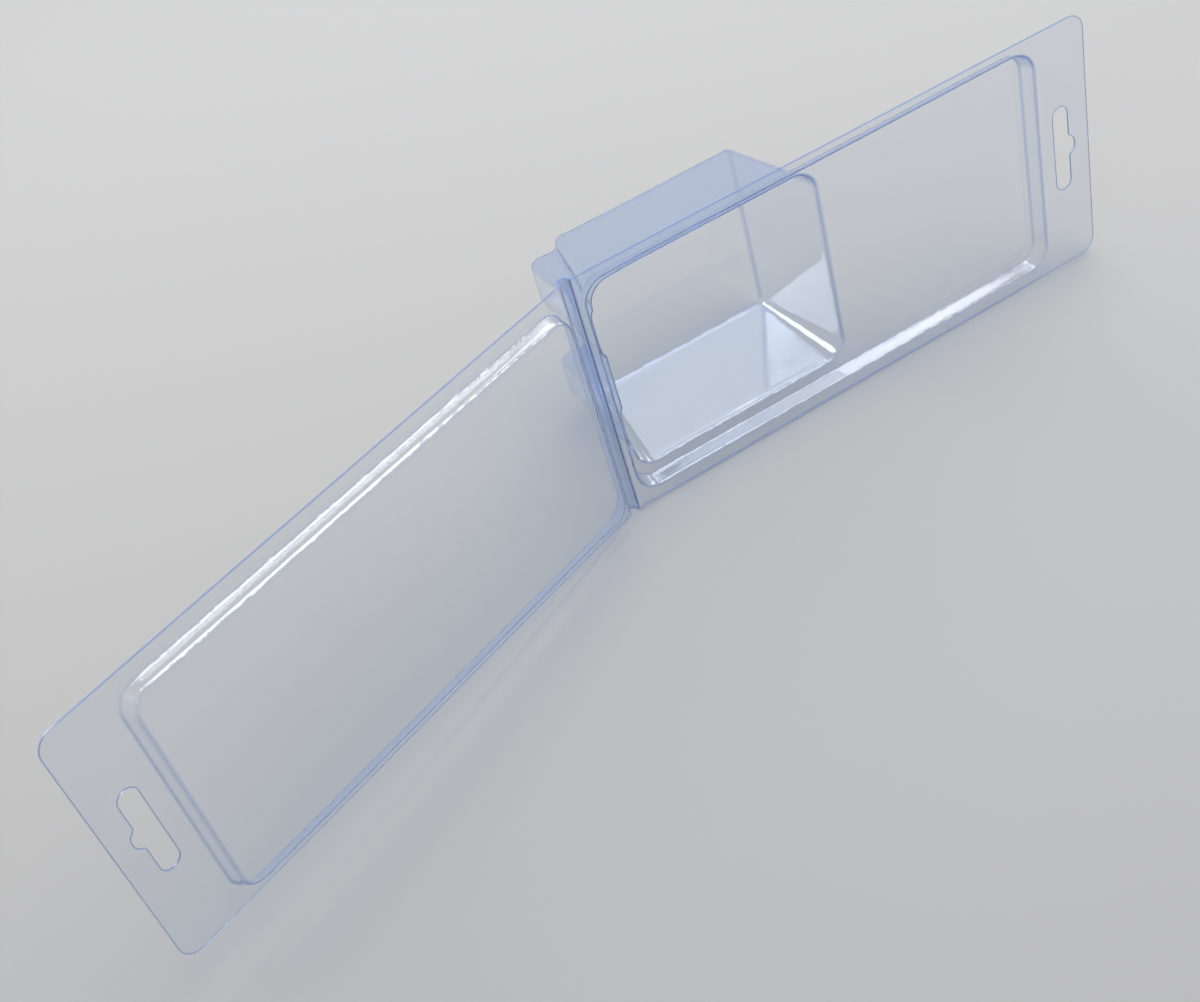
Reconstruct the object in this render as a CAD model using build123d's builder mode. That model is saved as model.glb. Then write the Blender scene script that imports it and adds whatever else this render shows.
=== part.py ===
from build123d import *
from math import asin, atan2, cos, degrees, hypot, radians, sin, tan
import os

# Clear clamshell pack, thermoformed from one sheet: a tray with a product box and a hang tab, a lid whose
# plug closes the tray's recess, and the half-round living hinge between them. Each half is drawn from its
# hinge edge outwards and is symmetric about its middle line. The pack stands open, as it is put down on a
# table: the tray leans back on its lower rim and on the rear edge of its box, and the lid folds forward a
# little. The origin lies on the table, under the middle of the open pack.

# Sheet, and the outline that both halves share
sheet = 0.4
panel_length = 197.0
panel_width = 92.5
tab_corner_radius = 6.0
bend_radius = 0.7

# Recess that frames the tray, with a narrow rim on the long sides and the hang tab at the far end
side_rim = 4.7
hinge_rim = 2.4
tab_length = 21.3
recess_depth = 5.6
recess_corner_radius = 8.0
recess_draft = 12.0

# Product box in the recess floor, set in from the recess on the long sides
box_start = 6.1
box_inset = 5.0
box_length = 84.4
box_width = panel_width - 2 * side_rim - 2 * box_inset
box_depth = 49.0
box_corner_radius = 7.0
box_edge_radius = 1.0
box_draft = 6.2
box_hinge_draft = 12.8

# Two feet on the hinge end of the box, on which the closed pack stands on a shelf
foot_start = 5.0
foot_inset = 5.55
foot_width_share = 0.3146
foot_width = box_width * foot_width_share
foot_offset = box_width / 2 - foot_inset - foot_width / 2
foot_corner_radius = 6.2
foot_flank_draft = 4.3
foot_sole_draft = 0.6

# Slot for a display hook, with its notch towards the far edge
slot_length = 31.75
slot_width = 6.35
slot_edge_distance = 11.6
notch_width = 7.6
notch_rise = 2.3
notch_flank_angle = 50.0
notch_tip_radius = 2.6
notch_root_radius = 1.5

# Plug of the lid, which goes into the tray's recess
plug_clearance = 0.5
plug_height = 5.0
plug_draft = 14.0

# Living hinge, and the angle at which the lid stands
hinge_gap = 4.5
hinge_leg = 0.7
closed_gap = 0.4
lid_fold = 20.5


def skin_growth(grow, draft):
    """Sideways growth of an outline set deeper by grow, so that the drafted wall is just as thick."""
    return grow * tan(radians(45 - draft / 2))


def resting_lean():
    """Angle at which one plane touches the lower rim and the rounded rear edge of the box."""
    edge_radius = box_edge_radius + sheet
    edge_depth = box_depth + sheet - edge_radius
    wall_rise = (edge_depth - recess_depth - sheet) * tan(radians(box_draft))
    wall_height = (panel_width - box_width) / 2 - skin_growth(sheet, box_draft) + wall_rise
    edge_height = wall_height + edge_radius / cos(radians(box_draft))
    reach = edge_depth - sheet
    return degrees(atan2(edge_height, reach) - asin(edge_radius / hypot(edge_height, reach)))


def draw(face, start, depth, left, right, width, radius, draft, left_draft, middle, grow):
    """Form drawn into a sheet: a rounded outline at start, narrowed by its drafts down to depth."""
    outlines = []
    for level in (start, depth):
        inset = (level - start) * tan(radians(draft)) - skin_growth(grow, draft)
        near = left + (level - start) * tan(radians(left_draft)) - skin_growth(grow, left_draft)
        far = right - inset
        with BuildSketch(face.offset(level + grow)) as outline:
            with Locations(((near + far) / 2, middle)):
                RectangleRounded(far - near, width - 2 * inset, radius - inset)
        outlines.append(outline.sketch)
    loft(outlines, ruled=True)


def faces_at(part, face, level):
    """Flat faces of a part that lie in the sheet's plane moved by level."""
    plane = face.offset(level)
    return part.faces().filter_by(plane).filter_by(lambda flat: plane.contains(flat.center()))


def hook_slot():
    """Hook slot about its own middle, with a rounded notch on one side."""
    with BuildSketch() as slot:
        SlotOverall(slot_length, slot_width, rotation=90)
        with Locations((slot_width / 2, 0)):
            Trapezoid(
                notch_width, notch_rise, notch_flank_angle, rotation=-90, align=(Align.CENTER, Align.MIN)
            )
        notch_side = slot.vertices().group_by(Axis.X)[-2]
        fillet(notch_side.sort_by(lambda corner: abs(corner.Y))[:2], notch_root_radius)
        fillet(slot.vertices().group_by(Axis.X)[-1], notch_tip_radius)
    return slot.sketch


def panel(face):
    """Flat blank of one half, with the hook slot punched out of its tab."""
    with BuildSketch(face) as blank:
        Rectangle(panel_length, panel_width, align=(Align.MIN, Align.CENTER))
        fillet(blank.vertices().group_by(Axis.X)[-1], tab_corner_radius)
        with Locations((panel_length - slot_edge_distance, 0)):
            add(hook_slot(), mode=Mode.SUBTRACT)
    extrude(blank.sketch, amount=sheet)


def bend_rim(half, face):
    """Round the bend from the flat rim into the drawn form, on both skins of the sheet."""
    for level, radius in ((0, bend_radius + sheet), (sheet, bend_radius)):
        mouth = faces_at(half, face, level)[0].inner_wires().sort_by(SortBy.LENGTH)[-1]
        fillet(mouth.edges(), radius)


# Planes of the two halves, the front of the tray and the back of the lid, and of the hinge's section
lean = resting_lean()
back = Vector(0, cos(radians(lean)), -sin(radians(lean)))
tray_face = Plane(origin=(0, 0, 0), x_dir=(1, 0, 0), z_dir=back)
hinge_axis = tray_face.from_local_coords((-hinge_gap / 2, 0, -closed_gap / 2))
hinge_section = Plane(hinge_axis, x_dir=tray_face.x_dir, z_dir=-tray_face.y_dir)
flat_lid = Plane(hinge_axis, x_dir=-tray_face.x_dir, z_dir=-back)
folded_lid = Plane(flat_lid.location * Rotation(0, -lid_fold, 0))
lid_corner = folded_lid.from_local_coords((hinge_gap / 2, 0, -closed_gap / 2 - sheet))
lid_face = Plane(lid_corner, x_dir=folded_lid.x_dir, z_dir=folded_lid.z_dir)


def tray_form(grow):
    """Space that the tray's sheet is drawn round: its inner skin, or grown by the sheet its outer skin."""
    with BuildPart() as form:
        draw(
            tray_face, 0, recess_depth, hinge_rim, panel_length - tab_length, panel_width - 2 * side_rim,
            recess_corner_radius, recess_draft, recess_draft, 0, grow,
        )
        draw(
            tray_face, recess_depth, box_depth, box_start, box_start + box_length, box_width,
            box_corner_radius, box_draft, box_hinge_draft, 0, grow,
        )
        for side in (-1, 1):
            draw(
                tray_face, recess_depth, box_depth, foot_start, box_start + box_length / 2, foot_width,
                foot_corner_radius, foot_flank_draft, foot_sole_draft, side * foot_offset, grow,
            )
        fillet(faces_at(form, tray_face, box_depth + grow).edges(), box_edge_radius + grow)
        floor = faces_at(form, tray_face, recess_depth + grow)[0]
        fillet(floor.outer_wire().edges(), bend_radius + grow)
        floor = faces_at(form, tray_face, recess_depth + grow)[0]
        fillet(floor.inner_wires().edges(), bend_radius + sheet - grow)
    return form.part


def lid_form(grow):
    """Space behind the lid's plug, or grown by the sheet the plug's front skin."""
    mouth = plug_clearance + skin_growth(sheet, plug_draft)
    with BuildPart() as form:
        draw(
            lid_face, 0, plug_height, hinge_rim + mouth, panel_length - tab_length - mouth,
            panel_width - 2 * side_rim - 2 * mouth, recess_corner_radius - mouth,
            plug_draft, plug_draft, 0, grow,
        )
        fillet(faces_at(form, lid_face, plug_height + grow).edges(), bend_radius + grow)
    return form.part


with BuildPart() as tray:
    panel(tray_face)
    add(tray_form(sheet))
    add(tray_form(0), mode=Mode.SUBTRACT)
    bend_rim(tray, tray_face)

with BuildPart() as lid:
    panel(lid_face)
    add(lid_form(sheet))
    add(lid_form(0), mode=Mode.SUBTRACT)
    bend_rim(lid, lid_face)

with BuildPart() as living_hinge:
    with BuildSketch(hinge_section):
        with BuildLine():
            rim_front = Vector(hinge_gap / 2, closed_gap / 2)
            leg_end = rim_front + Vector(0, hinge_leg)
            leg = Line(rim_front, leg_end)
            lid_leg_end = Vector(-leg_end.X, leg_end.Y).rotate(Axis.Z, lid_fold)
            TangentArc(leg_end, lid_leg_end, tangent=leg % 1)
            Line(lid_leg_end, Vector(-rim_front.X, rim_front.Y).rotate(Axis.Z, lid_fold))
            offset(amount=sheet, side=Side.LEFT)
        make_face()
    extrude(amount=panel_width / 2, both=True)

# The open pack stands on the table with the origin under its middle
pieces = {"tray": tray.part, "living_hinge": living_hinge.part, "lid": lid.part}
extent = Compound(list(pieces.values())).bounding_box()
under_middle = Location((-extent.center().X, -extent.center().Y, -extent.min.Z))
os.makedirs("parts", exist_ok=True)
for name, piece in pieces.items():
    piece.label = name
    export_step(piece.moved(under_middle), f"parts/{name}.step")
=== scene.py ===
from math import acos, cos, pi, radians, sin, tan

import bpy
import numpy as np
from mathutils import Matrix, Vector
from mathutils.geometry import delaunay_2d_cdt


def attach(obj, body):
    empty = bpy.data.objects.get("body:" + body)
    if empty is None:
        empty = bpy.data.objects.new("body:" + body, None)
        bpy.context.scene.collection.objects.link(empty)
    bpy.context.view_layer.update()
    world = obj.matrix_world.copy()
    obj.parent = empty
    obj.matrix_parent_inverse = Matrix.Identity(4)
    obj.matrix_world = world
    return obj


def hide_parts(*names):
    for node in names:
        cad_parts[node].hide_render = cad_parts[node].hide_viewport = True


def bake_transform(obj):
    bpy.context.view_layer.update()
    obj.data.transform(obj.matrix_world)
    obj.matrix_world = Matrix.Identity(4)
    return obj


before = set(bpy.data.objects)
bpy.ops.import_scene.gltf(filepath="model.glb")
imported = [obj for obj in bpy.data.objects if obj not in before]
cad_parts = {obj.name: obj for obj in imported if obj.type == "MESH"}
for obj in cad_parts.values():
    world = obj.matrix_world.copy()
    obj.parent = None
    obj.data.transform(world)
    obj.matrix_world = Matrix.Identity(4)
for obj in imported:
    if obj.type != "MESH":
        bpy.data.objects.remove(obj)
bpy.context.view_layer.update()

# The pack is one thin clear sheet. Each half is built from the middle surface of its sheet, as loops of
# points round the drawn forms and triangles on the flats. It gets two skins and its cut edges from that.
# A point of a half is given in mm as x along the half from the hinge, its depth in the direction in which
# the half is drawn, and z up from the half's middle line.

# Sizes of the pack in mm and degrees, as in its source
SHEET = 0.4
HALF = SHEET / 2
LENGTH, WIDTH = 197.0, 92.5
TAB_CORNER = 6.0
SIDE_RIM, HINGE_RIM, TAB = 4.7, 2.4, 21.3
RECESS, RECESS_CORNER, RECESS_DRAFT = 5.6, 8.0, 12.0
BOX_START, BOX_LENGTH, BOX_INSET, BOX_DEPTH = 6.1, 84.4, 5.0, 49.0
BOX_WIDTH = WIDTH - 2 * SIDE_RIM - 2 * BOX_INSET
BOX_CORNER, BOX_DRAFT, BOX_HINGE_DRAFT = 7.0, 6.2, 12.8
FOOT_START, FOOT_OFFSET, FOOT_WIDTH = 5.0, 19.5, 23.0
FOOT_CORNER, FLANK_DRAFT, SOLE_DRAFT = 6.2, 4.3, 0.6
SLOT_LENGTH, SLOT_WIDTH, SLOT_EDGE = 31.75, 6.35, 11.6
NOTCH_WIDTH, NOTCH_RISE, NOTCH_FLANK, NOTCH_ROOT, NOTCH_TIP = 7.6, 2.3, 50.0, 1.5, 2.6
PLUG_GAP, PLUG_HEIGHT, PLUG_DRAFT = 0.5, 5.0, 14.0
HINGE_GAP, CLOSED_GAP, FOLD = 4.5, 0.4, 20.5
LEAN = 16.227555
TRAY_CORNER = np.array([-3.95397, 11.36493, 45.27721])
MM = 0.001

# Bend radii in the middle of the sheet, at the hinge end and beyond it, and the stretch of x between them
MOUTH_BEND, FLOOR_BEND, LIP_BEND, REAR_BEND = (0.9, 1.4), (0.8, 1.5), (0.6, 1.7), (1.3, 2.2)
PLUG_BEND, PLUG_TOP_BEND = (0.9, 1.5), (0.9, 1.7)
WIDENING = (7.0, 24.0)
FOOT_BLEND = 1.5

# Bead of the hinge: its distance from the halves, the bend and rise of its legs, and its points
BEAD_GAP, LEG_BEND, LEG_RISE = 0.03, 0.45, 0.25
LEG_STEPS, ARCH_STEPS = 8, 28

# Fineness of the meshes: numbers of points or loops, and the pitch of the flats' triangles in mm
BEND_STEPS, REAR_STEPS = 8, 10
SHALLOW_WALL_STEPS, BOX_WALL_STEPS = 3, 16
FRAME_SIDES, FRAME_CORNER_STEPS = (58, 28), 16
BOX_SIDES, BOX_CORNER_STEPS = (40, 34), 14
FOOT_STEPS, SOLE_STEPS, STRETCH_STEPS = 30, 12, 10
NOTCH_STEPS, SLOT_END_STEPS, SLOT_SIDE_STEPS, SLOT_SHORT_STEPS = 9, 20, 16, 8
CUT_SIDE_STEPS, CUT_CORNER_STEPS, CUT_END_STEPS = 70, 14, 30
HINGE_ROWS = 46
RIM_PITCH, FLOOR_PITCH, PLUG_PITCH = 3.2, 2.6, 2.8
# Distance between the triangles' rows, and of their points from an edge, as shares of the pitch
ROW_SHARE, EDGE_SHARE = 0.866, 0.62
# Width of the band inside a cut, margin at the notch, and least step and slope step of an outline, in mm
EDGE_BAND, NOTCH_MARGIN, LEAST_STEP, SLOPE_STEP = 0.45, 1.0, 0.02, 0.05
# Angle in degrees from which an edge is shown sharp
SHARP_ANGLE = 42

# Slight waves of the sheet: their lengths and heights in mm, and the stretch of x over which they set in
WAVES, WAVE_PEAK = 9, 1.6
BROAD_LENGTHS, BROAD_HEIGHT = (34, 90), 0.10
TRAY_WAVES = {"seeds": (3, 4), "small_lengths": (9, 22), "small_height": 0.012}
LID_WAVES = {"seeds": (11, 12), "small_lengths": (7, 18), "small_height": 0.014}
STILL_BY_HINGE = (0.5, 8.0)

# Bends and walls get blue as painted shade, strongest where they face down from the lamps
# Painted blue shade: weights of corners, inner bends, drawn walls, bends that face up and the bead's arch
CORNER_WEIGHT, INNER_WEIGHT, WALL_PAINTED_BLUE, UPWARD_PAINTED_BLUE, ARCH_PAINTED_BLUE = 0.5, 0.8, 0.34, 0.2, 0.34
# Ranges over which it sets in, of curvature per mm and of the downward part of the normal
CURVED, DOWNWARD, UPRIGHT = (0.05, 0.6), (-0.28, 0.40), (-0.7, -0.3)
# Ranges of x and of depth over which the painted blue shade of the hinge end fades out
HINGE_REACH, HINGE_DEPTH = (8.0, 16.0), (8.0, 20.0)

# Directions of the two halves in the row frame
ALONG = np.array([1.0, 0.0, 0.0])
BACK = np.array([0.0, cos(radians(LEAN)), -sin(radians(LEAN))])
UP = np.array([0.0, sin(radians(LEAN)), cos(radians(LEAN))])
LID_ALONG = -cos(radians(FOLD)) * ALONG - sin(radians(FOLD)) * BACK
LID_FRONT = -cos(radians(FOLD)) * BACK + sin(radians(FOLD)) * ALONG
HINGE = TRAY_CORNER - ALONG * HINGE_GAP / 2 - BACK * CLOSED_GAP / 2
LID_CORNER = HINGE + LID_ALONG * HINGE_GAP / 2 - LID_FRONT * (CLOSED_GAP / 2 + SHEET)
TRAY_FRAME = (TRAY_CORNER, ALONG, BACK, UP)
LID_FRAME = (LID_CORNER, LID_ALONG, LID_FRONT, UP)


# Outlines
def fade(value, low, high):
    """Smooth step from 0 at low to 1 at high."""
    t = np.clip((value - low) / (high - low), 0, 1)
    return t * t * (3 - 2 * t)


def growth(draft):
    """Sideways growth of a drafted outline from the front skin to the middle of the sheet."""
    return HALF * tan(radians(45 - draft / 2))


def line(start, end, count):
    """Points from start up to, but not on, end."""
    share = np.arange(count)[:, None] / count
    return np.array(start) + share * (np.array(end) - np.array(start))


def turn(centre, radius, first, last, count):
    """Points of an arc and its outward normals, from first up to, but not on, last."""
    angle = np.radians(first + (last - first) * np.arange(count) / count)
    normal = np.stack([np.cos(angle), np.sin(angle)], 1)
    return np.array(centre) + radius * normal, normal


def rounded(x0, x1, half, radius, sides=FRAME_SIDES, corner=FRAME_CORNER_STEPS, left=None):
    """Closed outline of a rounded rectangle with its outward normals, anticlockwise from its lower left."""
    near, far, low, high = x0 + radius, x1 - radius, -half + radius, half - radius
    around = (
        ((near, -half), (far, -half), (0, -1), (far, low), -90, sides[0]),
        ((x1, low), (x1, high), (1, 0), (far, high), 0, sides[1]),
        ((far, half), (near, half), (0, 1), (near, high), 90, sides[0]),
        ((x0, high), (x0, low), (-1, 0), (near, low), 180, sides[1]),
    )
    points, normals = [], []
    for start, end, normal, centre, first, count in around:
        if left is not None and normal == (-1, 0):
            side, side_normals = left(start, end)
        else:
            side = line(start, end, count)
            side_normals = np.tile(np.array(normal, float), (count, 1))
        arc, arc_normals = turn(centre, radius, first, first + 90, corner)
        points += [side, arc]
        normals += [side_normals, arc_normals]
    return np.concatenate(points), np.concatenate(normals)


def foot_side(wall, sole, half, radius):
    """Half of a foot's outline from the box's wall to its sole, with its reach and the sole's half width."""
    rise = wall - sole
    share = min(1.0, max(0.0, rise / (radius + FOOT_BLEND)))
    angle = acos(1 - share)
    flank = max(0.0, rise - radius - FOOT_BLEND)
    reach = half - radius + (radius + FOOT_BLEND) * sin(angle)
    lengths = np.array([FOOT_BLEND * angle, flank, radius * angle])
    bend = np.array([wall - FOOT_BLEND + FOOT_BLEND * cos(angle), reach - FOOT_BLEND * sin(angle)])
    way = np.array([-sin(angle), -cos(angle)])
    centre = bend + way * flank + radius * np.array([cos(angle), -sin(angle)])
    points, normals = [], []
    for distance in lengths.sum() * np.arange(FOOT_STEPS) / FOOT_STEPS:
        if distance < lengths[0]:
            t = distance / FOOT_BLEND
            points.append((wall - FOOT_BLEND + FOOT_BLEND * cos(t), reach - FOOT_BLEND * sin(t)))
        elif distance < lengths[0] + lengths[1]:
            t = angle
            points.append(tuple(bend + way * (distance - lengths[0])))
        else:
            t = angle - (distance - lengths[0] - lengths[1]) / radius
            points.append(tuple(centre + radius * np.array([-cos(t), sin(t)])))
        normals.append((-cos(t), sin(t)))
    return np.array(points), np.array(normals), reach, half - radius


def box_outline(depth):
    """Outline of the product box with its two feet at a depth, for the middle of the sheet."""
    level = depth - RECESS - HALF
    inset = level * tan(radians(BOX_DRAFT)) - growth(BOX_DRAFT)
    wall = BOX_START + level * tan(radians(BOX_HINGE_DRAFT)) - growth(BOX_HINGE_DRAFT)
    far = BOX_START + BOX_LENGTH - inset
    half = BOX_WIDTH / 2 - inset
    foot_inset = level * tan(radians(FLANK_DRAFT)) - growth(FLANK_DRAFT)
    sole = FOOT_START + level * tan(radians(SOLE_DRAFT)) - growth(SOLE_DRAFT)
    curve, curve_normals, reach, sole_half = foot_side(
        wall, sole, FOOT_WIDTH / 2 - foot_inset, FOOT_CORNER - foot_inset
    )

    def hinge_side(start, end):
        """Side of the outline towards the hinge, from its upper end round both feet to its lower end."""
        points, normals = [], []
        place = start[1]
        plain = np.array([[-1.0, 0.0]])
        for middle in (FOOT_OFFSET, -FOOT_OFFSET):
            stretch = line((wall, place), (wall, middle + reach), STRETCH_STEPS)
            flat = line((sole, middle + sole_half), (sole, middle - sole_half), SOLE_STEPS)
            corner = np.array([[sole, middle - sole_half]])
            mirrored = np.concatenate([corner, (curve * (1, -1))[::-1] + (0, middle)])[:-1]
            mirrored_normals = np.concatenate([plain, (curve_normals * (1, -1))[::-1]])[:-1]
            points += [stretch, curve + (0, middle), flat, mirrored]
            normals += [np.repeat(plain, len(stretch), 0), curve_normals]
            normals += [np.repeat(plain, len(flat), 0), mirrored_normals]
            place = middle - reach
        stretch = line((wall, place), end, STRETCH_STEPS)
        points += [stretch]
        normals += [np.repeat(plain, len(stretch), 0)]
        return np.concatenate(points), np.concatenate(normals)

    return rounded(wall, far, half, BOX_CORNER - inset, BOX_SIDES, BOX_CORNER_STEPS, hinge_side)


def plain_outline(x0, x1, half, corner, draft):
    """Function of the depth that gives the outline of a rounded rectangle, drafted from the face on."""

    def outline(depth):
        inset = (depth - HALF) * tan(radians(draft)) - growth(draft)
        return rounded(x0 + inset, x1 - inset, half - inset, corner - inset)

    return outline


def slot_outline(middle):
    """Outline of the hook slot with its rounded notch towards the far edge."""
    half, reach = SLOT_WIDTH / 2, SLOT_LENGTH / 2 - SLOT_WIDTH / 2
    run = NOTCH_RISE / tan(radians(NOTCH_FLANK))
    start = np.array([half, -reach])
    end = np.array([half, reach])
    corners = [
        np.array([half, -NOTCH_WIDTH / 2]),
        np.array([half + NOTCH_RISE, -NOTCH_WIDTH / 2 + run]),
        np.array([half + NOTCH_RISE, NOTCH_WIDTH / 2 - run]),
        np.array([half, NOTCH_WIDTH / 2]),
    ]
    radii = (NOTCH_ROOT, NOTCH_TIP, NOTCH_TIP, NOTCH_ROOT)
    way_along = [start] + corners + [end]
    notch = []
    for i, (here, radius) in enumerate(zip(corners, radii)):
        before, after = way_along[i] - here, way_along[i + 2] - here
        before, after = before / np.linalg.norm(before), after / np.linalg.norm(after)
        angle = acos(float(before @ after))
        cut = radius / tan(angle / 2)
        middle_way = (before + after) / np.linalg.norm(before + after)
        centre = here + middle_way * radius / sin(angle / 2)
        a, b = here + before * cut - centre, here + after * cut - centre
        steps = np.linspace(0, 1, NOTCH_STEPS)[:, None]
        way = a * (1 - steps) + b * steps
        notch.append(centre + radius * way / np.linalg.norm(way, axis=1)[:, None])
    top, _ = turn((0, reach), half, 0, 180, SLOT_END_STEPS)
    side = line((-half, reach), (-half, -reach), SLOT_SIDE_STEPS)
    bottom, _ = turn((0, -reach), half, 180, 360, SLOT_END_STEPS)
    near = line(start, (half, -NOTCH_WIDTH / 2 - NOTCH_MARGIN), SLOT_SHORT_STEPS)
    far = line((half, NOTCH_WIDTH / 2 + NOTCH_MARGIN), end, SLOT_SHORT_STEPS)
    loop = np.concatenate([near] + notch + [far, top, side, bottom])
    keep = np.linalg.norm(loop - np.roll(loop, 1, 0), axis=1) > LEAST_STEP
    return loop[keep] + (middle, 0)


def cut_outline(inset):
    """Outer cut edge of one half, from the hinge round the tab and back, moved inwards by inset."""
    half, corner = WIDTH / 2 - inset, TAB_CORNER - inset
    straight, end = LENGTH - TAB_CORNER, LENGTH - inset
    low, _ = turn((straight, -half + corner), corner, -90, 0, CUT_CORNER_STEPS)
    high, _ = turn((straight, half - corner), corner, 0, 90, CUT_CORNER_STEPS)
    return np.concatenate([
        line((0, -half), (straight, -half), CUT_SIDE_STEPS),
        low,
        line((end, -half + corner), (end, half - corner), CUT_END_STEPS),
        high,
        line((straight, half), (0, half), CUT_SIDE_STEPS),
        [(0, half)],
    ])


# Loops of points along the drawn forms
def ring(points, depths):
    """Outline points with their depths as (x, depth, z)."""
    return np.stack([points[:, 0], np.broadcast_to(depths, len(points)), points[:, 1]], 1)


def slope(outline, depth):
    """How far each outline point moves outwards per mm of depth."""
    near, normals = outline(depth - SLOPE_STEP)
    far, _ = outline(depth + SLOPE_STEP)
    return ((far - near) * normals).sum(1) / (2 * SLOPE_STEP)


def bend_shape(outline, depth, radii):
    """Points and normals of the outline at a bend, with its radius, the wall's draft and its reach."""
    points, normals = outline(depth)
    radius = radii[0] + (radii[1] - radii[0]) * fade(points[:, 0], *WIDENING)
    draft = np.arctan(-slope(outline, depth))
    return points, normals, radius, draft, radius * np.tan(pi / 4 - draft / 2)


def bend_in(outline, depth, radii, count):
    """Loops of the bend from a flat that lies outside the outline into its wall."""
    points, normals, radius, draft, reach = bend_shape(outline, depth, radii)
    loops = []
    for share in np.linspace(0, 1, count + 1):
        angle = -pi / 2 - share * (pi / 2 - draft)
        out = reach + radius * np.cos(angle)
        down = radius + radius * np.sin(angle)
        loops.append(ring(points + normals * out[:, None], depth + down))
    return loops


def bend_out(outline, depth, radii, count):
    """Loops of the bend from the wall into a flat that lies inside the outline."""
    points, normals, radius, draft, reach = bend_shape(outline, depth, radii)
    loops = []
    for share in np.linspace(0, 1, count + 1):
        angle = draft + share * (pi / 2 - draft)
        out = -reach + radius * np.cos(angle)
        down = -radius + radius * np.sin(angle)
        loops.append(ring(points + normals * out[:, None], depth + down))
    return loops


def walls(outline, above, below, count):
    """Loops of the wall between the bend above and the bend below it."""
    start, end = above[-1][:, 1], below[0][:, 1]
    loops = []
    for share in np.arange(1, count) / count:
        depth = start + share * (end - start)
        middle = float(depth.mean())
        points, normals = outline(middle)
        shift = (depth - middle) * slope(outline, middle)
        loops.append(ring(points + normals * shift[:, None], depth))
    return loops


def drawn_weights(above, wall, below):
    """Weights of the bends, strongest in their middle, and of the wall, for all loops but the first."""
    turns = [np.linspace(0, 1, len(bend)) for bend in (above, below)]
    peaks = [np.sin(pi * turns[0][1:]) ** 2, INNER_WEIGHT * np.sin(pi * turns[1]) ** 2]
    bends = [peaks[0], np.full(len(wall), CORNER_WEIGHT), peaks[1]]
    sides = [turns[0][1:], np.ones(len(wall)), 1 - turns[1]]
    return np.stack([np.concatenate(bends), np.concatenate(sides)], 1)


def inside(points, polygon):
    """Which points lie inside a closed polygon."""
    x, y = points[:, 0][:, None], points[:, 1][:, None]
    x1, y1 = polygon[:, 0][None], polygon[:, 1][None]
    x2, y2 = np.roll(polygon[:, 0], -1)[None], np.roll(polygon[:, 1], -1)[None]
    cross = (y1 > y) != (y2 > y)
    with np.errstate(divide="ignore", invalid="ignore"):
        hit = x < (x2 - x1) * (y - y1) / (y2 - y1) + x1
    return (cross & hit).sum(1) % 2 == 1


class Sheet:
    """Middle surface of one half as points and faces, gathered patch by patch."""

    def __init__(self):
        self.points, self.weights, self.faces, self.count = [], [], [], 0

    def add(self, loop, weights=(0.0, 0.0)):
        """Add a row of points with its weights of bend and wall, and return their numbers."""
        start = self.count
        self.points.append(loop)
        self.weights.append(np.tile(weights, (len(loop), 1)))
        self.count += len(loop)
        return np.arange(start, self.count)

    def strip(self, loops, ids, weights):
        """Faces from the row ids through the loops, each of which has its own weights."""
        for loop, weight in zip(loops, weights):
            below = self.add(loop, weight)
            for i in range(len(ids)):
                j = (i + 1) % len(ids)
                self.faces.append((ids[i], ids[j], below[j], below[i]))
            ids = below
        return ids

    def draw(self, outline, above, below, wall_steps):
        """Bend, wall and bend of a drawn form. Returns its first and its last row of points."""
        first = self.add(above[0])
        wall = walls(outline, above, below, wall_steps)
        last = self.strip(above[1:] + wall + below, first, drawn_weights(above, wall, below))
        return first, last

    def blank(self):
        """Border of the flat blank and its slot, each with a narrow band inside the cut."""
        cut = self.add(ring(cut_outline(0), HALF))
        band = self.add(ring(cut_outline(EDGE_BAND), HALF))
        end = WIDTH / 2 - EDGE_BAND
        hinge = self.add(ring(line((0, end), (0, -end), HINGE_ROWS)[1:], HALF))
        for i in range(len(cut) - 1):
            self.faces.append((cut[i], cut[i + 1], band[i + 1], band[i]))
        hole = slot_outline(LENGTH - SLOT_EDGE)
        way = np.roll(hole, -1, 0) - np.roll(hole, 1, 0)
        way /= np.linalg.norm(way, axis=1)[:, None]
        around = self.add(ring(hole + EDGE_BAND * np.stack([way[:, 1], -way[:, 0]], 1), HALF))
        slot = self.strip([ring(hole, HALF)], around, [(0.0, 0.0)])
        border = np.concatenate([cut, band[-1:], hinge, band[:1]])
        return np.concatenate([band, hinge]), around, [border, slot[::-1]]

    def flat(self, outer, holes, depth, pitch):
        """Triangles of a flat between point rows that are already in the sheet."""
        everything = np.concatenate(self.points)
        rows = [outer] + holes
        flat = [everything[row][:, (0, 2)] for row in rows]
        edge = np.concatenate(flat)
        low, high = flat[0].min(0), flat[0].max(0)
        xs = np.arange(low[0], high[0], pitch)
        zs = np.arange(low[1], high[1], pitch * ROW_SHARE)
        grid = np.array([(x + (k % 2) * pitch / 2, z) for k, z in enumerate(zs) for x in xs])
        grid = grid[inside(grid, flat[0])]
        for hole in flat[1:]:
            grid = grid[~inside(grid, hole)]
        gaps = np.array([((edge - p) ** 2).sum(1).min() for p in grid])
        grid = grid[gaps > (EDGE_SHARE * pitch) ** 2]
        new = self.add(ring(grid, depth))
        place = np.concatenate([edge, grid])
        ids = np.concatenate(rows + [new])
        edges, start = [], 0
        for row in rows:
            n = len(row)
            edges += [(start + i, start + (i + 1) % n) for i in range(n)]
            start += n
        verts, _, faces, origin, _, _ = delaunay_2d_cdt([Vector(p) for p in place], edges, [], 0, 1e-6)
        source = [o[0] for o in origin]
        for face in faces:
            mid = np.array([list(sum((verts[v] for v in face), Vector((0, 0))) / 3)])
            if inside(mid, flat[0])[0] and not any(inside(mid, hole)[0] for hole in flat[1:]):
                self.faces.append(tuple(ids[source[v]] for v in face))


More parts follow.
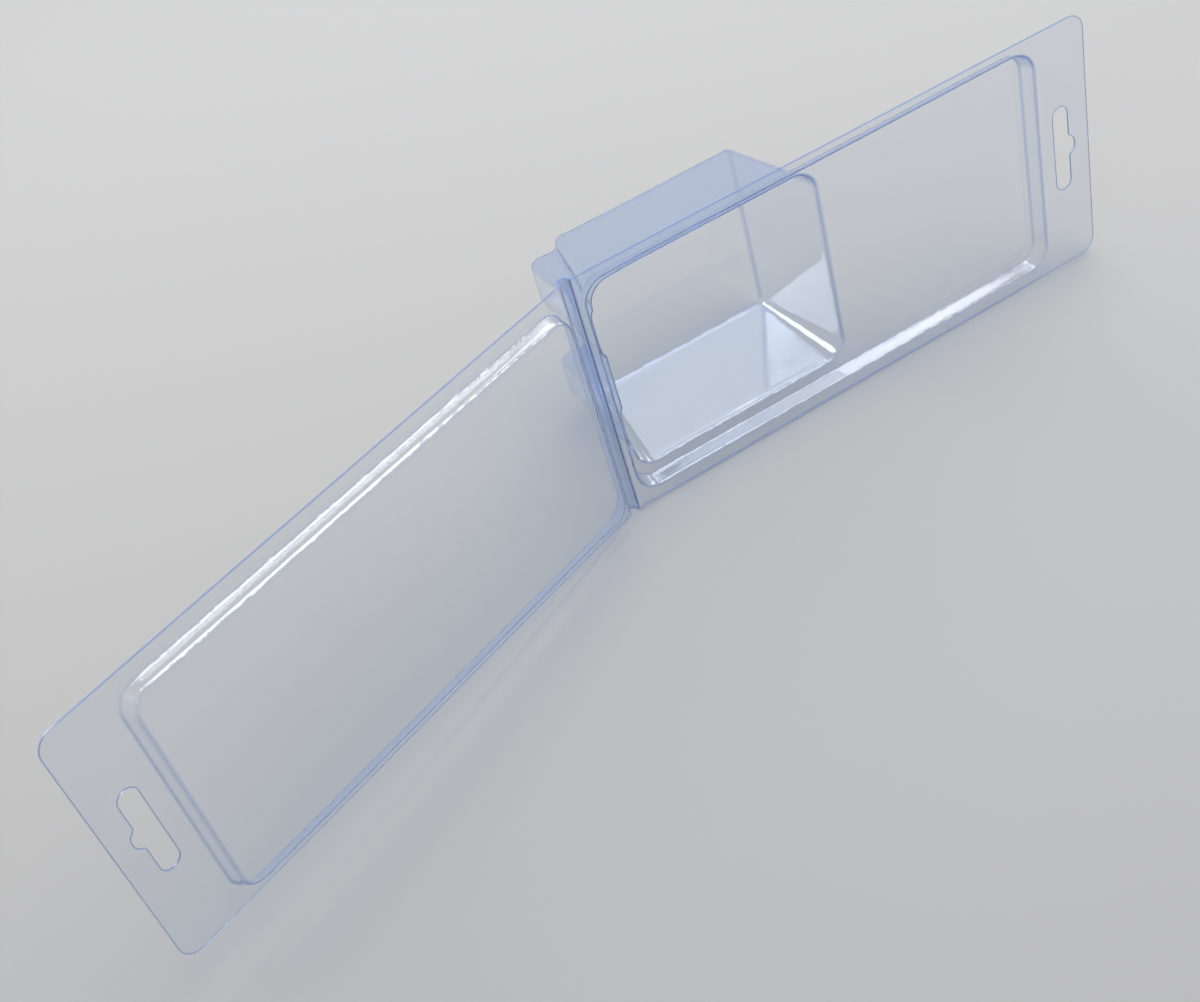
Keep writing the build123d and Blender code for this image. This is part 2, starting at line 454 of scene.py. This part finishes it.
# The two halves
def tray_sheet():
    """Middle surface of the tray, with its recess and its product box, and the rows of its cut edges."""
    sheet = Sheet()
    outer, slot, edges = sheet.blank()
    recess = plain_outline(HINGE_RIM, LENGTH - TAB, WIDTH / 2 - SIDE_RIM, RECESS_CORNER, RECESS_DRAFT)
    mouth = bend_in(recess, HALF, MOUTH_BEND, BEND_STEPS)
    foot = bend_out(recess, RECESS + HALF, FLOOR_BEND, BEND_STEPS)
    rim, end = sheet.draw(recess, mouth, foot, SHALLOW_WALL_STEPS)
    sheet.flat(outer, [slot, rim], HALF, RIM_PITCH)
    opening = bend_in(box_outline, RECESS + HALF, LIP_BEND, BEND_STEPS)
    rear = bend_out(box_outline, BOX_DEPTH + HALF, REAR_BEND, REAR_STEPS)
    lip, last = sheet.draw(box_outline, opening, rear, BOX_WALL_STEPS)
    sheet.flat(end, [lip], RECESS + HALF, FLOOR_PITCH)
    sheet.flat(last, [], BOX_DEPTH + HALF, FLOOR_PITCH)
    return sheet, edges


def lid_sheet():
    """Middle surface of the lid, with its plug, and the rows of its cut edges."""
    sheet = Sheet()
    outer, slot, edges = sheet.blank()
    gap = PLUG_GAP + SHEET * tan(radians(45 - PLUG_DRAFT / 2))
    plug = plain_outline(
        HINGE_RIM + gap, LENGTH - TAB - gap, WIDTH / 2 - SIDE_RIM - gap, RECESS_CORNER - gap, PLUG_DRAFT
    )
    mouth = bend_in(plug, HALF, PLUG_BEND, BEND_STEPS)
    top = bend_out(plug, PLUG_HEIGHT + HALF, PLUG_TOP_BEND, BEND_STEPS)
    rim, last = sheet.draw(plug, mouth, top, SHALLOW_WALL_STEPS)
    sheet.flat(outer, [slot, rim], HALF, RIM_PITCH)
    sheet.flat(last, [], PLUG_HEIGHT + HALF, PLUG_PITCH)
    return sheet, edges


def mesh_object(name, points, faces, materials, indices, shares, wrinkles):
    """Smooth mesh object from points in mm, carrying shares of painted blue shade and of dents at its
    points.
    """
    mesh = bpy.data.meshes.new(name)
    mesh.from_pydata([tuple(p) for p in points * MM], [], [tuple(int(i) for i in f) for f in faces])
    for material in materials:
        mesh.materials.append(material)
    mesh.polygons.foreach_set("material_index", np.array(indices, np.int32))
    mesh.polygons.foreach_set("use_smooth", np.ones(len(faces), bool))
    # The bend attribute carries the painted blue shade, the wrinkle attribute the dents
    for attribute, values in (("bend", shares), ("wrinkle", wrinkles)):
        layer = mesh.attributes.new(attribute, "FLOAT", "POINT")
        layer.data.foreach_set("value", np.array(values, np.float32))
    mesh.update()
    mesh.set_sharp_from_angle(angle=radians(SHARP_ANGLE))
    thing = bpy.data.objects.new(name, mesh)
    bpy.context.scene.collection.objects.link(thing)
    return thing


def point_normals(points, faces):
    """Normals of the middle surface, weighted by the angle of each face corner."""
    normals = np.zeros_like(points)
    groups = {}
    for face in faces:
        groups.setdefault(len(face), []).append(face)
    for size, group in groups.items():
        group = np.array(group)
        for k in range(size):
            here = points[group[:, k]]
            a = points[group[:, (k + 1) % size]] - here
            b = points[group[:, k - 1]] - here
            cross = np.cross(a, b)
            length = np.linalg.norm(cross, axis=1)
            angle = np.arctan2(length, (a * b).sum(1))
            ok = length > 1e-12
            weight = np.where(ok, angle / np.maximum(length, 1e-12), 0)
            np.add.at(normals, group[:, k], cross * weight[:, None])
    return normals / np.maximum(np.linalg.norm(normals, axis=1), 1e-9)[:, None]


def ripple(points, seed, lengths):
    """Smooth random height over the points, about 1 at most, from waves of the given lengths."""
    random = np.random.default_rng(seed)
    low, high = lengths
    total = np.zeros(len(points))
    for _ in range(WAVES):
        way = random.normal(size=3)
        way /= np.linalg.norm(way)
        length = low * (high / low) ** random.random()
        total += np.sin(points @ way * 2 * pi / length + random.random() * 2 * pi)
    return total / WAVES ** 0.5 / WAVE_PEAK


def unrest(points, seeds, small_lengths, small_height):
    """Height of the slight waves of a sheet at its points."""
    broad = ripple(points, seeds[0], BROAD_LENGTHS)
    small = ripple(points, seeds[1], small_lengths)
    return BROAD_HEIGHT * broad + small_height * small


def bend_shares(points, normals, faces):
    """How sharply the sheet bends at each point, from 0 on a flat to 1."""
    curves = np.zeros(len(points))
    for face in faces:
        for a, b in zip(face, face[1:] + face[:1]):
            gap = np.linalg.norm(points[a] - points[b])
            curve = np.linalg.norm(normals[a] - normals[b]) / max(gap, 1e-6)
            curves[a], curves[b] = max(curves[a], curve), max(curves[b], curve)
    return fade(curves, *CURVED)


def painted_shade_and_dents(sheet, points, normals, side):
    """Shares of painted blue shade, most where the sheet faces down or is by the hinge, and of dents
    elsewhere.
    """
    lower = -side * normals[:, 2]
    downward = fade(lower, *DOWNWARD)
    by_hinge = (1 - fade(points[:, 0], *HINGE_REACH)) * (1 - fade(points[:, 1], *HINGE_DEPTH))
    by_hinge = by_hinge * fade(lower, *UPRIGHT)
    bends, sides = np.concatenate(sheet.weights).T
    bends = bends * bend_shares(points, normals, sheet.faces)
    wrinkles = bends * (1 - downward)
    bends = bends * (UPWARD_PAINTED_BLUE + (1 - UPWARD_PAINTED_BLUE) * np.maximum(downward, by_hinge))
    shares = np.maximum(bends, WALL_PAINTED_BLUE * sides * np.maximum(downward ** 2, by_hinge))
    return shares, wrinkles


def skin(name, sheet, edges, place, side, waves, materials):
    """Closed sheet of the real thickness round a middle surface, placed in the row frame.

    side is 1 where the normals point to the front of the open pack, and -1 where they point to its back.
    """
    points = np.concatenate(sheet.points)
    faces = sheet.faces
    normals = point_normals(points, faces)
    heights = unrest(points, **waves) * fade(points[:, 0], *STILL_BY_HINGE)
    points = points + normals * heights[:, None]
    normals = point_normals(points, faces)
    hinge = points[:, 0] < 1e-6
    normals[hinge] = (0, -1, 0)
    shares, wrinkles = painted_shade_and_dents(sheet, points, normals, side)
    for row in edges:
        shares[row[~hinge[row]]] = 1
    n = len(points)
    all_faces = list(faces) + [tuple(i + n for i in reversed(face)) for face in faces]
    indices = [0] * len(all_faces)
    for row in edges:
        for i in range(len(row)):
            a, b = row[i], row[(i + 1) % len(row)]
            all_faces.append((b, a, a + n, b + n))
            indices.append(0 if hinge[a] and hinge[b] else 1)
    corner, along, down, up = place
    local = np.concatenate([points + normals * HALF, points - normals * HALF])
    placed = corner + local[:, :1] * along + local[:, 1:2] * down + local[:, 2:] * up
    shares, wrinkles = np.tile(shares, 2), np.tile(wrinkles, 2)
    return mesh_object(name, placed, all_faces, materials, indices, shares, wrinkles)


# The hinge
def bead_profile():
    """Middle line of the half-round bead across the hinge, from the tray's edge to the lid's."""
    fold = radians(FOLD)
    turned = np.array([[cos(fold), -sin(fold)], [sin(fold), cos(fold)]])
    start = np.array([HINGE_GAP / 2 - BEAD_GAP, CLOSED_GAP / 2 + HALF])
    points = [start]
    for t in np.linspace(0, pi / 2, LEG_STEPS)[1:]:
        points.append(np.array([start[0] - LEG_BEND * sin(t), start[1] + LEG_BEND * (1 - cos(t))]))
    radius = HINGE_GAP / 2 - LEG_BEND
    rise = points[-1][1] + LEG_RISE
    end = pi + fold
    for t in np.linspace(0, end, ARCH_STEPS):
        swing = fold * (t / end)
        points.append(radius * np.array([cos(t), sin(t)]) + rise * np.array([-sin(swing), cos(swing)]))
    points += [turned @ (p * (-1, 1)) for p in points[:LEG_STEPS]][::-1]
    return np.array(points)


def hinge_bead(materials):
    """Bead between the two halves, with the same rows along the hinge as their edges."""
    profile = bead_profile()
    way = np.gradient(profile, axis=0)
    way /= np.linalg.norm(way, axis=1)[:, None]
    across = np.stack([way[:, 1], -way[:, 0]], 1)
    rows = np.linspace(WIDTH / 2, -WIDTH / 2, HINGE_ROWS + 1)
    n, m = len(profile), len(rows)
    points, faces, indices = [], [], []
    for skin_row in (profile - across * HALF, profile + across * HALF):
        for z in rows:
            points += [HINGE + p[0] * ALONG + p[1] * BACK + z * UP for p in skin_row]
    for k in range(m - 1):
        for i in range(n - 1):
            a = k * n + i
            b = a + n * m
            faces.append((a, a + 1, a + n + 1, a + n))
            faces.append((b, b + n, b + n + 1, b + 1))
            indices += [0, 0]
    for k in (0, m - 1):
        for i in range(n - 1):
            a = k * n + i
            b = a + n * m
            faces.append((a, b, b + 1, a + 1) if k == 0 else (a, a + 1, b + 1, b))
            indices.append(1)
    for k in range(m - 1):
        for i in (0, n - 1):
            a = k * n + i
            b = a + n * m
            faces.append((a, a + n, b + n, b) if i == 0 else (a, b, b + n, a + n))
            indices.append(0)
    # Painted blue shade on the bead: peaked at the legs' bends, even along its arch
    leg = np.sin(np.linspace(0, pi, LEG_STEPS)) ** 2
    arch = np.full(n - 2 * LEG_STEPS, ARCH_PAINTED_BLUE)
    shares = np.tile(np.concatenate([leg, arch, leg]), 2 * m)
    wrinkles = np.zeros(len(shares))
    return mesh_object("hinge_bead", np.array(points), faces, materials, indices, shares, wrinkles)


# Materials: noise scales are per metre and heights in metres
SHEET_IOR, COAT_WEIGHT, COAT_ROUGH = 1.57, 0.6, 0.02
FINE_SCALE, FINE_DETAIL, FINE_STRENGTH, FINE_HEIGHT = 420, 3, 0.05, 0.0003
DENT_SCALE, DENT_DETAIL, DENT_HEIGHT = 230, 1, 0.0014
HAZE_SCALE, HAZE_DETAIL, HAZE_LOW, HAZE_HIGH, HAZE_ROUGH = 55, 5, 0.42, 0.72, 0.05
TINT, TINT_DENSITY = (0.0, 0.42, 0.96), 210.0
CLEAR, CLEAR_ROUGH, CLEAR_PASS, CLEAR_SHADE = (1.0, 1.0, 1.0), 0.03, 1.0, (0.99, 0.99, 0.99)
# Painted blue shade at bends, and the share of light that passes there
BEND_PAINTED_BLUE, BEND_PAINTED_PASS = (0.34, 0.54, 1.0), 0.8
EDGE_BLUE, EDGE_ROUGH, EDGE_PASS, EDGE_SHADE = (0.30, 0.48, 1.0), 0.3, 0.3, (0.9, 0.9, 0.9)


def new_node(tree, kind, values):
    """New node of a tree, with values on its input sockets by their names."""
    node = tree.nodes.new(kind)
    for socket, value in values.items():
        node.inputs[socket].default_value = value
    return node


def point_value(tree, name):
    """Socket with a value that the mesh carries at its points."""
    node = tree.nodes.new("ShaderNodeAttribute")
    node.attribute_name = name
    return node.outputs["Fac"]


def noise(tree, scale, detail):
    """Socket with noise in the object's own coordinates."""
    place = tree.nodes.new("ShaderNodeTexCoord")
    texture = new_node(tree, "ShaderNodeTexNoise", {"Scale": scale, "Detail": detail})
    tree.links.new(place.outputs["Object"], texture.inputs["Vector"])
    return texture.outputs["Fac"]


def mixed(tree, share, first, second):
    """Shader socket that goes from the first shader to the second by a share."""
    mix = tree.nodes.new("ShaderNodeMixShader")
    tree.links.new(share, mix.inputs["Fac"])
    tree.links.new(first, mix.inputs[1])
    tree.links.new(second, mix.inputs[2])
    return mix.outputs["Shader"]


def principled(name, color, rough, transmission, ior):
    """Material with a Principled shader."""
    material = bpy.data.materials.new(name)
    material.use_nodes = True
    shader = material.node_tree.nodes["Principled BSDF"]
    shader.inputs["Base Color"].default_value = (*color, 1)
    shader.inputs["Roughness"].default_value = rough
    shader.inputs["Transmission Weight"].default_value = transmission
    shader.inputs["IOR"].default_value = ior
    return material, shader


def clear_plastic(name, color, rough, transmission, shade, painted_blue=None, painted_blue_pass=None):
    """Clear sheet that lets lamp light through to what is behind, tinted in depth, with painted shade at
    bends.
    """
    material, shader = principled(name, color, rough, transmission, SHEET_IOR)
    shader.inputs["Coat Weight"].default_value = COAT_WEIGHT
    shader.inputs["Coat Roughness"].default_value = COAT_ROUGH
    tree = material.node_tree
    links = tree.links
    # Blue and lower light pass at bends, read from the mesh's bend attribute, are painted shade
    if painted_blue:
        bend = point_value(tree, "bend")
        ramp = tree.nodes.new("ShaderNodeValToRGB")
        ramp.color_ramp.elements[0].color = (*color, 1)
        ramp.color_ramp.elements[1].color = (*painted_blue, 1)
        links.new(bend, ramp.inputs["Fac"])
        links.new(ramp.outputs["Color"], shader.inputs["Base Color"])
        passed = new_node(tree, "ShaderNodeMapRange", {"To Min": transmission, "To Max": painted_blue_pass})
        links.new(bend, passed.inputs["Value"])
        links.new(passed.outputs["Result"], shader.inputs["Transmission Weight"])
    fine = new_node(tree, "ShaderNodeBump", {"Strength": FINE_STRENGTH, "Distance": FINE_HEIGHT})
    links.new(noise(tree, FINE_SCALE, FINE_DETAIL), fine.inputs["Height"])
    dents = new_node(tree, "ShaderNodeBump", {"Distance": DENT_HEIGHT})
    links.new(point_value(tree, "wrinkle"), dents.inputs["Strength"])
    links.new(noise(tree, DENT_SCALE, DENT_DETAIL), dents.inputs["Height"])
    links.new(fine.outputs["Normal"], dents.inputs["Normal"])
    links.new(dents.outputs["Normal"], shader.inputs["Normal"])
    haze = new_node(tree, "ShaderNodeMapRange", {"From Min": HAZE_LOW, "From Max": HAZE_HIGH})
    haze.inputs["To Min"].default_value = rough
    haze.inputs["To Max"].default_value = rough + HAZE_ROUGH
    links.new(noise(tree, HAZE_SCALE, HAZE_DETAIL), haze.inputs["Value"])
    links.new(haze.outputs["Result"], shader.inputs["Roughness"])
    passing = new_node(tree, "ShaderNodeBsdfTransparent", {"Color": (*shade, 1)})
    path = tree.nodes.new("ShaderNodeLightPath")
    surface = mixed(tree, path.outputs["Is Shadow Ray"], shader.outputs["BSDF"], passing.outputs["BSDF"])
    depth = new_node(tree, "ShaderNodeVolumeAbsorption", {"Color": (*TINT, 1), "Density": TINT_DENSITY})
    output = tree.nodes["Material Output"]
    links.new(surface, output.inputs["Surface"])
    links.new(depth.outputs["Volume"], output.inputs["Volume"])
    return material


# The pieces
plastic = clear_plastic("clear_sheet", CLEAR, CLEAR_ROUGH, CLEAR_PASS, CLEAR_SHADE, BEND_PAINTED_BLUE, BEND_PAINTED_PASS)
cut_edge = clear_plastic("cut_edge", EDGE_BLUE, EDGE_ROUGH, EDGE_PASS, EDGE_SHADE)
materials = [plastic, cut_edge]

tray = skin("tray_sheet", *tray_sheet(), TRAY_FRAME, 1, TRAY_WAVES, materials)
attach(tray, "tray body")
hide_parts("tray")

lid = skin("lid_sheet", *lid_sheet(), LID_FRAME, -1, LID_WAVES, materials)
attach(lid, "lid body")
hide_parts("lid")

bead = hinge_bead(materials)
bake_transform(bead)
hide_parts("living_hinge")

# Floor, surroundings and lamps, in metres and watts
PALE = (0.58, 0.58, 0.585)
FLOOR_COLOR, FLOOR_ROUGH, FLOOR_IOR, FLOOR_REACH = (0.62, 0.62, 0.62), 0.8, 1.45, 9.0
GROUND_START, GROUND_END = 0.26, 0.72
HORIZON, OVERHEAD, OVERHEAD_HEIGHT = (0.32, 0.32, 0.33), (0.14, 0.14, 0.15), 0.40
LAMP_TARGET = Vector((0, 0.01, 0.05))
WHITE, COOL = (1.0, 1.0, 1.0), (0.97, 0.98, 1.0)
# Each lamp has its name, its direction and distance from the target, its size, power and colour
LAMPS = (
    ("top", (0.30, 0.15, 0.94), 1.1, (1.0, 0.5), 6.4, WHITE),
    ("top_left", (-0.25, 0.30, 0.90), 1.2, (0.3, 0.3), 1.2, WHITE),
    ("window", (-0.45, 0.75, 0.42), 1.3, (0.6, 0.45), 5.2, WHITE),
    ("back", (0.34, 0.77, 0.53), 1.4, (0.8, 0.40), 1.8, COOL),
    ("back_right", (0.47, 0.60, 0.67), 1.3, (0.40, 0.30), 0.9, COOL),
    ("right", (0.85, 0.43, 0.28), 1.3, (0.6, 0.5), 3.6, WHITE),
    ("fill", (-0.55, -0.45, 0.70), 1.3, (0.5, 0.5), 0.8, WHITE),
)


def seen_directly(tree):
    """Socket that is 1 for rays that show a thing itself, straight, mirrored or through glass."""
    path = tree.nodes.new("ShaderNodeLightPath")
    socket = path.outputs["Is Camera Ray"]
    for name in ("Is Glossy Ray", "Is Transmission Ray"):
        either = tree.nodes.new("ShaderNodeMath")
        either.operation = "MAXIMUM"
        tree.links.new(socket, either.inputs[0])
        tree.links.new(path.outputs[name], either.inputs[1])
        socket = either.outputs[0]
    return socket


def pale_floor():
    """Plain floor that turns into a plain pale ground away from the pack, to be pale in every view."""
    mesh = bpy.data.meshes.new("floor")
    corners = [(x * FLOOR_REACH, y * FLOOR_REACH, 0) for x, y in ((-1, -1), (1, -1), (1, 1), (-1, 1))]
    mesh.from_pydata(corners, [], [(0, 1, 2, 3)])
    material, shader = principled("floor", FLOOR_COLOR, FLOOR_ROUGH, 0.0, FLOOR_IOR)
    mesh.materials.append(material)
    tree = material.node_tree
    place = tree.nodes.new("ShaderNodeTexCoord")
    distance = tree.nodes.new("ShaderNodeVectorMath")
    distance.operation = "LENGTH"
    tree.links.new(place.outputs["Object"], distance.inputs[0])
    away = new_node(tree, "ShaderNodeMapRange", {"From Min": GROUND_START, "From Max": GROUND_END})
    away.interpolation_type = "SMOOTHSTEP"
    tree.links.new(distance.outputs["Value"], away.inputs["Value"])
    share = tree.nodes.new("ShaderNodeMath")
    share.operation = "MULTIPLY"
    tree.links.new(away.outputs["Result"], share.inputs[0])
    tree.links.new(seen_directly(tree), share.inputs[1])
    ground = new_node(tree, "ShaderNodeEmission", {"Color": (*PALE, 1)})
    surface = mixed(tree, share.outputs[0], shader.outputs["BSDF"], ground.outputs["Emission"])
    tree.links.new(surface, tree.nodes["Material Output"].inputs["Surface"])
    floor = bpy.data.objects.new("floor", mesh)
    bpy.context.scene.collection.objects.link(floor)


def studio_world():
    """Dim light from all round, strongest from the horizon and below, behind a plain pale backdrop."""
    world = bpy.data.worlds.new("studio")
    bpy.context.scene.world = world
    world.use_nodes = True
    tree = world.node_tree
    background = tree.nodes["Background"]
    sky = tree.nodes.new("ShaderNodeTexCoord")
    height = tree.nodes.new("ShaderNodeSeparateXYZ")
    ramp = tree.nodes.new("ShaderNodeValToRGB")
    low, high = ramp.color_ramp.elements
    low.position, low.color = 0.0, (*HORIZON, 1)
    high.position, high.color = OVERHEAD_HEIGHT, (*OVERHEAD, 1)
    tree.links.new(sky.outputs["Generated"], height.inputs["Vector"])
    tree.links.new(height.outputs["Z"], ramp.inputs["Fac"])
    tree.links.new(ramp.outputs["Color"], background.inputs["Color"])
    backdrop = new_node(tree, "ShaderNodeBackground", {"Color": (*PALE, 1)})
    light, pale = background.outputs["Background"], backdrop.outputs["Background"]
    surface = mixed(tree, seen_directly(tree), light, pale)
    tree.links.new(surface, tree.nodes["World Output"].inputs["Surface"])


def softbox(name, direction, distance, size, power, color):
    """Rectangular lamp that faces the pack from a direction."""
    lamp = bpy.data.lights.new(name, "AREA")
    lamp.shape = "RECTANGLE"
    lamp.size, lamp.size_y = size
    lamp.energy = power
    lamp.color = color
    thing = bpy.data.objects.new(name, lamp)
    way = Vector(direction).normalized()
    thing.location = LAMP_TARGET + way * distance
    thing.rotation_euler = way.to_track_quat("Z", "Y").to_euler()
    bpy.context.scene.collection.objects.link(thing)


pale_floor()
studio_world()
for lamp_values in LAMPS:
    softbox(*lamp_values)

# Camera at the photograph's viewing angle: its place in mm, its axes, and its focal length in pixels
CAMERA_PLACE = Vector((-141.30, -274.43, 433.33))
CAMERA_RIGHT, CAMERA_FORWARD = Vector((0.8437, -0.5283, -0.0968)), Vector((0.2398, 0.5318, -0.8122))
FOCAL_PIXELS, PHOTO_PIXELS, SENSOR = 1584.7, 1200, 36.0
camera_data = bpy.data.cameras.new("camera")
camera_data.sensor_fit = "HORIZONTAL"
camera_data.sensor_width = SENSOR
camera_data.lens = FOCAL_PIXELS / PHOTO_PIXELS * SENSOR
camera_data.clip_start, camera_data.clip_end = 0.01, 20
camera = bpy.data.objects.new("camera", camera_data)
forward = CAMERA_FORWARD.normalized()
down = forward.cross(CAMERA_RIGHT.normalized()).normalized()
right = down.cross(forward).normalized()
camera_axes = Matrix((right, -down, -forward)).transposed().to_4x4()
camera.matrix_world = Matrix.Translation(CAMERA_PLACE * MM) @ camera_axes
bpy.context.scene.collection.objects.link(camera)
bpy.context.scene.camera = camera

# Colours shown as written, and enough bounces for rays through the thin clear sheet
scene = bpy.context.scene
scene.view_settings.view_transform = "Standard"
scene.cycles.caustics_reflective = False
scene.cycles.caustics_refractive = False
scene.cycles.max_bounces = 24
scene.cycles.transmission_bounces = 20
scene.cycles.transparent_max_bounces = 32
scene.cycles.glossy_bounces = 8
scene.cycles.diffuse_bounces = 3
